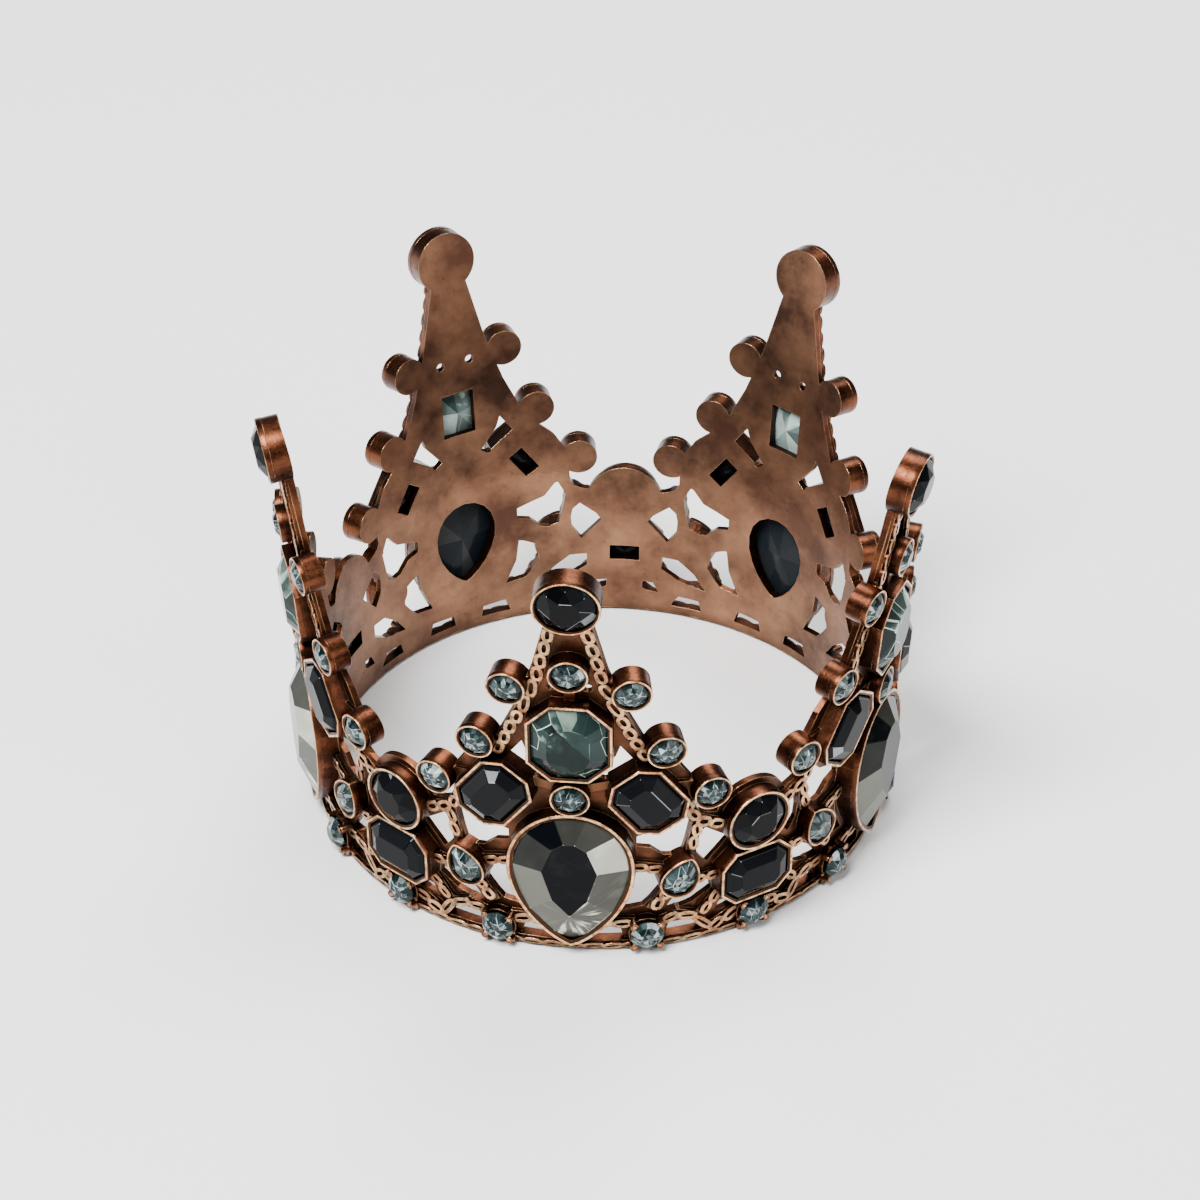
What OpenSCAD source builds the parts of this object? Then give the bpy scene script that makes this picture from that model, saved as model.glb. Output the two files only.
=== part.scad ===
// A small round crown of cast copper-coloured metal, set with a hundred cut stones.
// Five equal panels stand on one plain rim. Each panel is a pierced peak that leans on the next one
// at a low point between them. The stones sit in cups that are part of the casting.
// The crown stands on its rim, with the front peak towards -Y. Sizes are in millimetres.

/* [Rim and wall] */
// Diameter on the outside of the wall, at the rim
rim_d = 70; // [69:0.5:71]
// Height of the plain rim band
rim_h = 1.4; // [1.2:0.1:1.8]
// Thickness of the rim band and of the openwork bars
rim_t = 1.25; // [1.15:0.05:1.35]
// How much further out the wall leans at the highest stone
flare = 3.8; // [3.4:0.1:4.2]
// Thickness of the pierced sheet that all the cups and bars stand on
sheet_t = 0.75; // [0.65:0.05:0.85]

/* [Settings] */
// How far a cup's edge stands out in front of the wall
cup_rise = 0.7; // [0.6:0.05:0.8]
// Depth of the whole wall at a cup, from the cup's edge to the smooth inside
cup_depth = 2.6; // [2.55:0.05:2.7]
// Wall of the small round cups
thin_edge = 0.35; // [0.3:0.05:0.4]
// Wall of the large cups
thick_edge = 0.5; // [0.4:0.05:0.55]
// Free space between a stone and its cup
stone_gap = 0.06; // [0.05:0.01:0.1]

/* [Stones] */
// Width of the large pear stone's cup
pear_w = 14.8; // [14.6:0.1:15]
// Height of the large pear stone's cup
pear_h = 19.9; // [19.6:0.1:20]
// Width of the upper octagon's cup
octagon_w = 9.8; // [9.6:0.1:10]
// Height of the upper octagon's cup
octagon_h = 11.3; // [11.1:0.1:11.4]
// Short side of the long octagons' cups
long_w = 7.5; // [7.4:0.05:7.6]
// Long side of the long octagons' cups
long_h = 9.6; // [9.5:0.05:9.7]
// Diameter of the cup on each peak
top_d = 7.7; // [7.4:0.1:8]
// Diameter of the round cup at each low point
valley_d = 8.2; // [8.1:0.05:8.3]
// Diameter of the small round cups
small_d = 4.6; // [4.5:0.05:4.7]
// Diameter of the stones that prongs hold
prong_stone_d = 3.9; // [3.7:0.1:4]

/* [Wire loops] */
// Outer diameter of the two wire loops inside the rim
loop_d = 4.9; // [4.5:0.1:5.2]
// Thickness of the loops' wire
loop_wire = 0.8; // [0.7:0.1:0.9]
// How far each loop is turned out of level, in degrees
loop_tilt = 40; // [35:1:45]

/* [Hidden] */
$fn = 48;
// Fineness of what goes all the way round the crown.
round_fn = 180;
PANELS = 5;
PANEL_ANGLE = 360 / PANELS;
SIDES = [-1, 1];

rim_r = rim_d / 2;
wall_back = cup_depth - cup_rise;
rim_in = rim_r - wall_back;
rim_out = rim_in + rim_t;
rim_chamfer = 0.35;
rim_slope = 0.2;
top_z = 52.9;
half_panel = PI * rim_r / PANELS;

// Everything on the wall starts this much too far in, and the hollow of the crown trims it smooth.
trim = 0.8;
rim_trim = 1.2;
bar_overlap = 0.35;

// Heights at which the curve of the wall is taken, on the sheet's faces and on the smooth inside.
shell_heights = [0, 14, 28, 42, 56];
hollow_heights = [7.37, 21.37, 35.37, 49.37, 63.37];
// How far a cut starts behind the wall and in front of it.
cut_back = 27;
cut_front = 45;
stub_back = 6;
stub_length = 8;
clear_of = 1;

// Each setting is a row: its name, how far it lies beside the panel's middle along the rim, its height
// above the rim's bottom, and its turn on the wall in degrees. A pair is mirrored about the middle.
NAME = 0;
ASIDE = 1;
UP = 2;
TURN = 3;
middle_settings = [
    ["top", 0, top_z, 0],
    ["upper_round", 0, 42.6, 0],
    ["octagon", 0, 32.3, 0],
    ["middle_round", 0, 23.8, 0],
    ["pear", 0, 11.55, 0],
];
paired_settings = [
    ["high_round", 6.6, 39.8, 0],
    ["side_round", 10.5, 30.7, 0],
    ["low_round", 15.95, 23.2, 0],
    ["long", 8.65, 23.3, 36],
    ["drop", 12.6, 11.1, -24],
    ["prong", 8.75, 2.75, 0],
];
valley_settings = [
    ["valley_round", half_panel, 16.75, 0],
    ["valley_long", half_panel, 8.95, 90],
    ["prong", half_panel, 2.75, 0],
];

// Each bar is a row: where it starts and ends, beside the middle and upwards, and how wide it is.
// The first table holds the two long edges of a peak and the openwork below them, on one side.
FROM = 0;
TO = 1;
WIDE = 2;
side_bars = [
    [[1.35, 50.8], [3.65, 40.7], 1.5],
    [[3.65, 40.7], [5.40, 35.7], 1.5],
    [[5.40, 35.7], [8.60, 28.8], 1.5],
    [[3.90, 39.9], [5.40, 39.8], 2.0],
    [[7.90, 30.2], [9.30, 30.4], 2.0],
    [[12.2, 23.6], [14.3, 23.3], 2.2],
    [[2.00, 24.6], [4.60, 25.2], 1.2],
    [[12.9, 21.8], [14.6, 18.6], 1.5],
    [[14.6, 18.6], [18.0, 16.9], 1.6],
    [[14.8, 18.0], [14.1, 14.2], 1.3],
    [[7.00, 12.7], [10.6, 11.8], 1.4],
    [[11.6, 8.80], [9.60, 6.00], 1.5],
    [[2.60, 4.30], [7.00, 4.10], 1.4],
    [[10.6, 4.10], [12.6, 4.50], 1.3],
    [[12.6, 4.50], [14.8, 3.80], 1.3],
    [[14.8, 3.80], [16.5, 1.50], 1.3],
    [[14.3, 9.30], [17.6, 9.60], 1.3],
    [[15.5, 4.10], [17.7, 6.90], 1.3],
    [[16.4, 1.50], [20.3, 3.30], 1.5],
];
middle_bars = [
    [[0, 41.0], [0, 38.0], 1.2],
    [[0, 3.00], [0, 1.00], 3.4],
    [[half_panel, 6.0], [half_panel, 4.0], 3.0],
];

// Outline of the sheet: the right half of a peak from its neck down, and the right half of the low
// part between two peaks. A round lobe stands behind the round stone there.
peak_edge = [[2.3, 50.8], [4.3, 42.2], [6.3, 36.0], [9.0, 30.0], [12.4, 27.0], [14.1, 24.2], [14.2, 0.8]];
valley_edge = [[4.6, 18.5], [8.2, 19.6], [8.8, 18.0], [8.8, 0.8]];
valley_lobe_d = 9.8;

// Openings through the sheet on the right half of a panel, each by its corners.
sheet_openings = [
    [[2.9, 26.4], [5.1, 29.2], [5.6, 30.7], [7.3, 28.3], [4.2, 25.6]],
    [[7.7, 16.7], [7.7, 15.2], [9.4, 14.8], [10.8, 13.5], [12.3, 13.2], [13.1, 13.8], [13.7, 16.0],
        [14.9, 18.6], [13.9, 20.0], [12.7, 19.8], [11.3, 18.0]],
    [[19.0, 14.2], [16.0, 16.5], [14.8, 15.4], [15.0, 12.9], [16.2, 11.2]],
    [[7.7, 12.0], [10.2, 10.8], [10.4, 8.2], [8.4, 6.1], [5.8, 5.7], [7.3, 9.0]],
    [[10.5, 4.4], [12.4, 7.0], [14.6, 8.7], [16.8, 8.8], [16.9, 7.1], [14.5, 5.6]],
    [[2.0, 1.0], [2.4, 3.0], [5.6, 3.2], [6.3, 1.0]],
    [[11.1, 1.0], [11.7, 3.0], [14.8, 3.1], [15.6, 1.0]],
    [[17.3, 3.2], [18.1, 4.7], [19.5, 4.8], [19.5, 3.6]],
];
sheet_eye = [2.0, 39.4];
sheet_eye_d = 1.1;

prong_d = 0.95;
prong_rise = 0.75;
prong_start = -1;
prong_turns = [45, 135, 225, 315];
prong_cup_rise = -0.1;
prong_seat_d = 3.1;
prong_seat_from = 0.1;

// Place of each loop around the crown from the front, its middle's height and its side.
LOOP_AT = 0;
LOOP_UP = 1;
LOOP_SIDE = 2;
loops = [[-98, 2.4, -1], [101, 8.8, 1]];
loop_sink = 0.4;

COPPER = [0.66, 0.41, 0.28];
BLACK = [0.03, 0.03, 0.04];
SILVER = [0.55, 0.55, 0.52];
TEAL = [0.16, 0.23, 0.24];
PALE = [0.42, 0.52, 0.54];

// Distance of the wall's outer face from the crown's axis at a height, and its lean there.
function wall_r(z) = rim_r + flare * pow(z / top_z, 2);
function wall_lean(z) = atan(2 * flare * z / pow(top_z, 2));
function wall_angle(aside) = aside / rim_r * 180 / PI;
// A point of a panel's drawing, laid on the flat that touches the wall at the panel's middle.
function flattened(p) = [rim_r * sin(wall_angle(p[0])), p[1]];
function mirrored_outline(half) =
    concat(half, [for (i = [len(half) - 1 : -1 : 0]) [-half[i][0], half[i][1]]]);

// Outlines. A pear has its point down, and its sides follow one curve from the round end to the point.
PEAR_POWER = 0.25;
PEAR_WIDEST = 0.862;
// An octagon's cut corner shrinks by this share of a wall's thickness, so that the wall is even.
CORNER_SHARE = 0.59;
octagon_corner = 2.7;
long_corner = 1.9;
drop_wider = 0.1;
drop_longer = 1.3;
prong_cup_wider = 0.3;
pear_edge_extra = 0.15;
prong_edge = 0.1;
function pear_x(t) = cos(t) * pow((1 + sin(t)) / 2, PEAR_POWER) / PEAR_WIDEST;
function pear_outline(w, h, n) = [
    for (i = [0 : n - 1]) let (t = -90 + 360 * i / n) [w / 2 * (i == 0 ? 0 : pear_x(t)), h / 2 * sin(t)]
];
function octagon_outline(w, h, c) = [
    [w / 2, h / 2 - c], [w / 2 - c, h / 2], [c - w / 2, h / 2], [-w / 2, h / 2 - c],
    [-w / 2, c - h / 2], [c - w / 2, -h / 2], [w / 2 - c, -h / 2], [w / 2, c - h / 2],
];
function round_outline(d, n) =
    [for (i = [0 : n - 1]) let (t = 360 * (i + 0.5) / n) d / 2 * [cos(t), sin(t)]];

// Sizes of a setting by its name: the cup's width, height and cut corner, and its wall.
function cup_size(name) =
    name == "pear" ? [pear_w, pear_h, 0] :
    name == "octagon" ? [octagon_w, octagon_h, octagon_corner] :
    name == "long" || name == "valley_long" ? [long_w, long_h, long_corner] :
    name == "drop" ? [small_d + drop_wider, small_d + drop_longer, 0] :
    name == "top" ? [top_d, top_d, 0] :
    name == "valley_round" ? [valley_d, valley_d, 0] :
    name == "prong" ? [prong_stone_d + prong_cup_wider, prong_stone_d + prong_cup_wider, 0] :
    [small_d, small_d, 0];
function cup_top(name) = name == "prong" ? prong_cup_rise : cup_rise;
function is_pear(name) = name == "pear" || name == "drop";
function is_octagon(name) = name == "octagon" || name == "long" || name == "valley_long";
function cup_wall(name) =
    name == "pear" ? thick_edge + pear_edge_extra :
    is_octagon(name) || name == "valley_round" ? thick_edge :
    name == "prong" ? prong_edge : thin_edge;

// Depth of a cup's floor under the wall's outer face, and size of the hole in that floor, if any.
function floor_depth(name) =
    name == "pear" ? 0.7 :
    name == "octagon" ? 1.0 :
    name == "top" || name == "valley_round" ? 1.4 : 1.1;
function eye_size(name) =
    name == "pear" ? [8.4, 11.6] :
    name == "octagon" ? [4.4, 6.0] :
    name == "long" || name == "valley_long" ? [2.1, 3.8] : [0, 0];

// Height of a stone above and below its widest part, and the size of its flat top as a share of it.
CROWN = 0;
PAVILION = 1;
TABLE = 2;
function stone_cut(name) =
    name == "pear" ? [1.9, 1.2, 0.44] :
    name == "octagon" ? [1.5, 1.9, 0.52] :
    name == "top" || name == "valley_round" ? [1.3, 1.5, 0.5] :
    is_octagon(name) ? [1.3, 1.7, 0.5] : [0.85, 1.15, 0.5];
// Height of the lower end of a stone's widest part. It is higher where prongs reach in below it.
function girdle_low(name) = name == "prong" ? 0.39 : 0.2;
girdle_high = 0.45;
crown_step = 0.55;
crown_step_size = 0.78;
culet_size = 0.1;
pear_sides = 16;
round_sides = 12;
small_sides = 10;
small_limit = 5;
pear_middle = 0.1;
pear_steps = 28;
eye_steps = 20;

// The same outline as the cup's, smaller by a wall all round.
function outline(name, inset, n) =
    let (s = cup_size(name), w = s[0] - 2 * inset, h = s[1] - 2 * inset)
    is_pear(name) ? pear_outline(w, h, n) :
    is_octagon(name) ? octagon_outline(w, h, s[2] - CORNER_SHARE * inset) : round_outline(w, n);
function stone_sides(name) = name == "pear" ? pear_sides : is_small(name) ? small_sides : round_sides;
function is_small(name) = cup_size(name)[0] < small_limit;
// Stones shrink towards the middle of their round end.
function stone_middle(name) = is_pear(name) ? [0, pear_middle * cup_size(name)[1]] : [0, 0];
function points_up(name) = name == "drop" ? 180 : 0;

// Carries what it is given to a place on the wall: X along the wall, Y up it and Z out of it.
module on_wall(aside, up) {
    rotate([0, 0, wall_angle(aside)])
        translate([0, -wall_r(up), up])
            rotate([90 + wall_lean(up), 0, 0])
                children();
}

// Repeats what it is given at the place of one setting, or of both settings of a pair.
module at_setting(row, side = 1) {
    on_wall(side * row[ASIDE], row[UP])
        rotate([0, 0, side * row[TURN] + points_up(row[NAME])])
            children();
}

module cup_flat(name, inset) {
    if (is_pear(name) || is_octagon(name))
        polygon(outline(name, inset, pear_steps));
    else
        circle(d = cup_size(name)[0] - 2 * inset);
}

module cup_body(name) {
    translate([0, 0, -wall_back - trim])
        linear_extrude(wall_back + trim + cup_top(name))
            cup_flat(name, 0);
    if (name == "prong")
        prongs();
}

module prongs() {
    for (turn = prong_turns)
        rotate([0, 0, turn])
            translate([cup_size("prong")[0] / 2, 0, prong_start])
                cylinder(d = prong_d, h = prong_rise - prong_start);
}

module cup_seat(name) {
    if (name == "prong")
        prong_seat();
    else
        translate([0, 0, -floor_depth(name)])
            linear_extrude(floor_depth(name) + cup_rise + clear_of)
                cup_flat(name, cup_wall(name));
    eye = eye_size(name);
    if (eye[0] > 0)
        translate([0, 0, -wall_back - trim - clear_of])
            linear_extrude(wall_back + trim + clear_of)
                cup_eye(name, eye);
}

// A low cup whose stone rests on its edge, between prongs that are cut back to hold it.
module prong_seat() {
    translate([0, 0, -floor_depth("prong")])
        cylinder(d = prong_seat_d, h = floor_depth("prong") + clear_of);
    translate([0, 0, prong_seat_from])
        cylinder(d = prong_stone_d + 2 * stone_gap, h = prong_rise + clear_of);
}

module cup_eye(name, eye) {
    if (is_pear(name))
        translate(stone_middle(name))
            polygon(pear_outline(eye[0], eye[1], eye_steps));
    else
        square(eye, center = true);
}

// A straight bar along the wall between two places.
module bar(from, to, width) {
    run = to - from;
    on_wall((from[0] + to[0]) / 2, (from[1] + to[1]) / 2)
        rotate([0, 0, atan2(run[1], run[0])])
            translate([-norm(run) / 2 - bar_overlap, -width / 2, -wall_back - trim])
                cube([norm(run) + 2 * bar_overlap, width, rim_t + trim]);
}

module side_openwork() {
    for (row = side_bars, side = SIDES)
        bar([side * row[FROM][0], row[FROM][1]], [side * row[TO][0], row[TO][1]], row[WIDE]);
}

module middle_openwork() {
    for (row = middle_bars)
        bar(row[FROM], row[TO], row[WIDE]);
}

module panel_cups() {
    for (row = concat(middle_settings, valley_settings))
        at_setting(row)
            cup_body(row[NAME]);
    for (row = paired_settings, side = SIDES)
        at_setting(row, side)
            cup_body(row[NAME]);
}

module panel_seats() {
    for (row = concat(middle_settings, valley_settings))
        at_setting(row)
            cup_seat(row[NAME]);
    for (row = paired_settings, side = SIDES)
        at_setting(row, side)
            cup_seat(row[NAME]);
}

// A line that follows the wall's curve upwards, at a distance behind the wall's outer face.
function wall_line(heights, back) = [for (z = heights) [wall_r(z) - back, z]];
function reversed(list) = [for (i = [len(list) - 1 : -1 : 0]) list[i]];

// A body of revolution that follows the wall, between two distances behind its outer face.
module shell(back, front) {
    rotate_extrude($fn = round_fn)
        polygon(concat(wall_line(shell_heights, back), reversed(wall_line(shell_heights, front))));
}

// Extrudes a drawing of a panel outwards through the wall, square to the wall at one place beside
// the panel's middle.
module through_wall(points, aside = 0) {
    rotate([0, 0, wall_angle(aside)])
        translate([0, -cut_back, 0])
            rotate([90, 0, 0])
                linear_extrude(cut_front - cut_back)
                    polygon([for (p = points) flattened([p[0] - aside, p[1]])]);
}

module sheet_blank() {
    through_wall(mirrored_outline(peak_edge));
    rotate([0, 0, PANEL_ANGLE / 2])
        through_wall(mirrored_outline(valley_edge));
    on_wall(half_panel, valley_settings[0][UP])
        translate([0, 0, -stub_back])
            cylinder(d = valley_lobe_d, h = stub_length);
}

function middle_of(points) = [for (p = points) 1] * points / len(points);

module sheet_cuts() {
    for (points = sheet_openings, side = SIDES)
        through_wall([for (p = points) [side * p[0], p[1]]], side * middle_of(points)[0]);
    for (side = SIDES)
        on_wall(side * sheet_eye[0], sheet_eye[1])
            translate([0, 0, -stub_back])
                cylinder(d = sheet_eye_d, h = stub_length);
}

// The pierced sheet, all round.
module pierced_sheet() {
    difference() {
        intersection() {
            shell(wall_back + trim, wall_back - sheet_t);
            union() {
                for (i = [0 : PANELS - 1])
                    rotate([0, 0, i * PANEL_ANGLE])
                        sheet_blank();
            }
        }
        for (i = [0 : PANELS - 1])
            rotate([0, 0, i * PANEL_ANGLE])
                sheet_cuts();
    }
}

module rim_band() {
    rotate_extrude($fn = round_fn)
        polygon([
            [rim_in - rim_trim, 0], [rim_out - rim_chamfer, 0], [rim_out, rim_chamfer], [rim_out, rim_h],
            [rim_in - rim_trim, rim_h + rim_slope],
        ]);
}

// The hollow of the crown. It leaves the inside of the wall smooth and rounds the rim's inner edge.
module hollow() {
    below = [[0, -clear_of], [rim_in + rim_chamfer + clear_of, -clear_of], [rim_in, rim_chamfer]];
    above = [[0, hollow_heights[len(hollow_heights) - 1]]];
    rotate_extrude($fn = round_fn)
        polygon(concat(below, wall_line(hollow_heights, wall_back), above));
}

// A ring of wire whose outer edge sinks into the inside of the wall.
module wire_loop(row) {
    reach = rim_in - loop_d / 2 + loop_sink;
    rotate([0, 0, row[LOOP_AT]])
        translate([0, -reach, row[LOOP_UP]])
            rotate([0, row[LOOP_SIDE] * loop_tilt, 0])
                rotate_extrude()
                    translate([(loop_d - loop_wire) / 2, 0])
                        circle(d = loop_wire);
}

module casting() {
    difference() {
        union() {
            rim_band();
            pierced_sheet();
            for (i = [0 : PANELS - 1])
                rotate([0, 0, i * PANEL_ANGLE]) {
                    panel_cups();
                    side_openwork();
                    middle_openwork();
                }
        }
        hollow();
        for (i = [0 : PANELS - 1])
            rotate([0, 0, i * PANEL_ANGLE])
                panel_seats();
    }
}

// The whole casting, with the wire loops soldered on.
module crown_frame() {
    color(COPPER)
        union() {
            casting();
            for (row = loops)
                wire_loop(row);
        }
}

// A cut stone: rings of one outline, from the point below through the widest part to the flat top.
// A large stone has one more row of facets round its top than a small one.
module cut_stone(name) {
    cut = stone_cut(name);
    flat = outline(name, cup_wall(name) + stone_gap, stone_sides(name));
    middle = stone_middle(name);
    n = len(flat);
    rings = concat(
        [[culet_size, girdle_low(name) - cut[PAVILION]], [1, girdle_low(name)], [1, girdle_high]],
        is_small(name) ? [] : [[crown_step_size, girdle_high + crown_step * cut[CROWN]]],
        [[cut[TABLE], girdle_high + cut[CROWN]]]
    );
    last = len(rings) - 1;
    points = [for (ring = rings, p = flat) concat(middle + ring[0] * (p - middle), ring[1])];
    sides = [
        for (k = [0 : last - 1], i = [0 : n - 1])
            [k * n + i, (k + 1) * n + i, (k + 1) * n + (i + 1) % n, k * n + (i + 1) % n]
    ];
    bottom = [for (i = [0 : n - 1]) i];
    top = [for (i = [n - 1 : -1 : 0]) last * n + i];
    polyhedron(points, concat(sides, [bottom, top]), convexity = 2);
}

// One main stone of one panel, by its row and its side.
module main_stone(panel, row, side, shade) {
    color(shade)
        rotate([0, 0, panel * PANEL_ANGLE])
            at_setting(row, side)
                cut_stone(row[NAME]);
}

// The thirteen small pale stones of one panel.
module small_stones(panel) {
    color(PALE)
        rotate([0, 0, panel * PANEL_ANGLE]) {
            for (row = [middle_settings[1], middle_settings[3], valley_settings[2]])
                at_setting(row)
                    cut_stone(row[NAME]);
            for (i = [0, 1, 2, 4, 5], side = SIDES)
                at_setting(paired_settings[i], side)
                    cut_stone(paired_settings[i][NAME]);
        }
}

module top_stone(panel) main_stone(panel, middle_settings[0], 1, BLACK);
module octagon_stone(panel) main_stone(panel, middle_settings[2], 1, TEAL);
module pear_stone(panel) main_stone(panel, middle_settings[4], 1, SILVER);
module left_long_stone(panel) main_stone(panel, paired_settings[3], -1, BLACK);
module right_long_stone(panel) main_stone(panel, paired_settings[3], 1, BLACK);
module valley_round_stone(panel) main_stone(panel, valley_settings[0], 1, BLACK);
module valley_long_stone(panel) main_stone(panel, valley_settings[1], 1, BLACK);

STONE_NAMES = [
    "top_stone", "octagon_stone", "pear_stone", "left_long_stone", "right_long_stone",
    "valley_round_stone", "valley_long_stone", "small_stones",
];

crown_frame();
for (i = [1 : PANELS]) {
    top_stone(i - 1);
    octagon_stone(i - 1);
    pear_stone(i - 1);
    left_long_stone(i - 1);
    right_long_stone(i - 1);
    valley_round_stone(i - 1);
    valley_long_stone(i - 1);
    small_stones(i - 1);
}
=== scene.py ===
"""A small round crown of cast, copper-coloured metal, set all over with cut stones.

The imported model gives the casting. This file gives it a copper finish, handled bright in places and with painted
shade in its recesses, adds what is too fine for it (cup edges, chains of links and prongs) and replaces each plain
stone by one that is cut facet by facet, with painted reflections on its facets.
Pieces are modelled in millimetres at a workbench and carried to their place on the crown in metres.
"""
from __future__ import annotations

import logging
import math
import random
from contextlib import contextmanager
from dataclasses import dataclass
from enum import Enum
from typing import Callable, Iterator, Mapping, Sequence

import bmesh
import bpy
from mathutils import Matrix, Vector


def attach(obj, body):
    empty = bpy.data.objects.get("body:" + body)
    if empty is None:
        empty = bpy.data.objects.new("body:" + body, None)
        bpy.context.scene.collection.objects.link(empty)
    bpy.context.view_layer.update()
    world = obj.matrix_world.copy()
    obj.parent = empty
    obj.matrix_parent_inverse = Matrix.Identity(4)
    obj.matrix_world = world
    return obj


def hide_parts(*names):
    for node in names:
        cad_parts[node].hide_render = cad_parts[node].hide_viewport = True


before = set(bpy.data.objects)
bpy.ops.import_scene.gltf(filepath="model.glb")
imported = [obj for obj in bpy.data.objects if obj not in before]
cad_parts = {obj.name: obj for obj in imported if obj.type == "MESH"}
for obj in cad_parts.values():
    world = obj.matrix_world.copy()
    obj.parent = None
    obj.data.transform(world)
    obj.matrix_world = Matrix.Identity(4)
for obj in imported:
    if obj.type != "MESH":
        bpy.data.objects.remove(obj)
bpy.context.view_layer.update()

MM = 0.001
PANELS = 5
PANEL_TURN = 2 * math.pi / PANELS
SIDES = (-1, 1)
EIGHTH = 45.0
Colour = tuple[float, float, float, float]
Face = bpy.types.MeshPolygon
Piece = bpy.types.Object
Socket = bpy.types.NodeSocket

log = logging.getLogger("crown")


def toward(degrees: float) -> Vector:
    """The flat direction at an angle, anticlockwise from +X."""
    return Vector((math.cos(math.radians(degrees)), math.sin(math.radians(degrees)), 0.0))


def angle_of(at: Vector) -> float:
    """The angle of a point round the origin, from nothing to a full turn."""
    return math.atan2(at.y, at.x) % (2 * math.pi)


def stood(around: float, radius: float, up: float, lean: float, turn: float) -> Matrix:
    """Carries a workbench piece to the crown, its X along the rim and its Z outwards, with angles in radians."""
    at = Matrix.Scale(MM, 4) @ Matrix.Rotation(around, 4, "Z") @ Matrix.Translation((0.0, -radius, up))
    return at @ Matrix.Rotation(math.pi / 2 + lean, 4, "X") @ Matrix.Rotation(turn, 4, "Z")


# ---- The crown's measures ----


@dataclass(frozen=True)
class Wall:
    """The leaning round wall that every cup and bar stands on, in millimetres."""

    rim_radius: float = 35.0
    flare: float = 3.8
    top_height: float = 52.9
    bar_face: float = -0.65

    def radius(self, up: float) -> float:
        """Distance of the wall's outer face from the crown's axis at a height."""
        return self.rim_radius + self.flare * (up / self.top_height) ** 2

    def lean(self, up: float) -> float:
        """How far the wall leans outwards at a height, in radians."""
        return math.atan(2 * self.flare * up / self.top_height**2)

    def place(self, aside: float, up: float, turn: float, panel: int = 0) -> Matrix:
        """Carries a workbench piece to the wall, beside the middle of a panel, with a turn in radians."""
        return stood(aside / self.rim_radius + panel * PANEL_TURN, self.radius(up), up, self.lean(up), turn)


# The outlines that cups, stones and links come in, and the kinds of cup and stone.
Shape = Enum("Shape", "ROUND PEAR OCTAGON LINK")
Kind = Enum("Kind", "TOP OCTAGON PEAR LONG VALLEY SMALL DROP PRONG")


@dataclass(frozen=True)
class Outline:
    """A flat outline round the workbench's middle. A pear has its point towards -Y."""

    shape: Shape
    width: float
    height: float
    corner: float = 0.0
    corner_share: float = 0.59
    pear_power: float = 0.25
    pear_widest: float = 0.862
    link_power: float = 0.82

    def inset(self, by: float) -> Outline:
        """The same outline, smaller by a distance all round."""
        corner = self.corner - self.corner_share * by
        return Outline(self.shape, self.width - 2 * by, self.height - 2 * by, corner)

    def points(self, count: int) -> list[Vector]:
        """The outline's points, anticlockwise.

        Args:
            count: how many there are. An octagon gets a multiple of its eight corners.

        Returns:
            Points on the plane z = 0.
        """
        w, h, c = self.width / 2, self.height / 2, self.corner
        if self.shape is Shape.OCTAGON:
            half = [(w, c - h), (w, h - c), (w - c, h), (c - w, h)]
            corners = [Vector((x, y, 0.0)) for x, y in half + [(-x, -y) for x, y in half]]
            parts = max(1, count // 8)
            ends = corners[1:] + corners[:1]
            return [start.lerp(end, part / parts) for start, end in zip(corners, ends) for part in range(parts)]
        made = []
        for i in range(count):
            t = -math.pi / 2 + 2 * math.pi * i / count
            x, y = math.cos(t), math.sin(t)
            if self.shape is Shape.PEAR:
                x = 0.0 if i == 0 else x * ((1 + math.sin(t)) / 2) ** self.pear_power / self.pear_widest
            if self.shape is Shape.LINK:
                x, y = (math.copysign(abs(v) ** self.link_power, v) for v in (x, y))
            made.append(Vector((w * x, h * y, 0.0)))
        return made

    def reach(self, way: Vector) -> float:
        """How far the outline reaches from the workbench's middle in a direction."""
        return max(point.dot(way) for point in self.points(8 if self.shape is Shape.OCTAGON else 96))


@dataclass(frozen=True)
class Cup:
    """One kind of cup: its outline, the thickness of its wall and how finely it is modelled."""

    outline: Outline
    wall: float = 0.35
    steps: int = 40


WALL = Wall()


@dataclass(frozen=True)
class Seat:
    """Where a cup stands on a panel, in millimetres and degrees."""

    kind: Kind
    aside: float
    up: float
    turn: float = 0.0

    def mirrored(self, side: int) -> Seat:
        """One of the two cups of a pair. A drop points up."""
        flip = 180 if self.kind is Kind.DROP else 0
        return Seat(self.kind, side * self.aside, self.up, side * self.turn + flip)

    def place(self, panel: int = 0) -> Matrix:
        """Carries a workbench piece to this seat on a panel."""
        return WALL.place(self.aside, self.up, math.radians(self.turn), panel)


CUPS: dict[Kind, Cup] = {
    Kind.TOP: Cup(Outline(Shape.ROUND, 7.7, 7.7)),
    Kind.OCTAGON: Cup(Outline(Shape.OCTAGON, 9.8, 11.3, 2.7), 0.5),
    Kind.PEAR: Cup(Outline(Shape.PEAR, 14.8, 19.9), 0.65, 64),
    Kind.LONG: Cup(Outline(Shape.OCTAGON, 7.5, 9.6, 1.9), 0.5),
    Kind.VALLEY: Cup(Outline(Shape.ROUND, 8.2, 8.2), 0.5),
    Kind.SMALL: Cup(Outline(Shape.ROUND, 4.6, 4.6), steps=28),
    Kind.DROP: Cup(Outline(Shape.PEAR, 4.7, 5.9), steps=28),
    Kind.PRONG: Cup(Outline(Shape.ROUND, 4.2, 4.2), 0.1, 24),
}
HALF_PANEL = math.pi * WALL.rim_radius / PANELS
TOP_SEAT = Seat(Kind.TOP, 0, 52.9)
OCTAGON_SEAT = Seat(Kind.OCTAGON, 0, 32.3)
PEAR_SEAT = Seat(Kind.PEAR, 0, 11.55)
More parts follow.
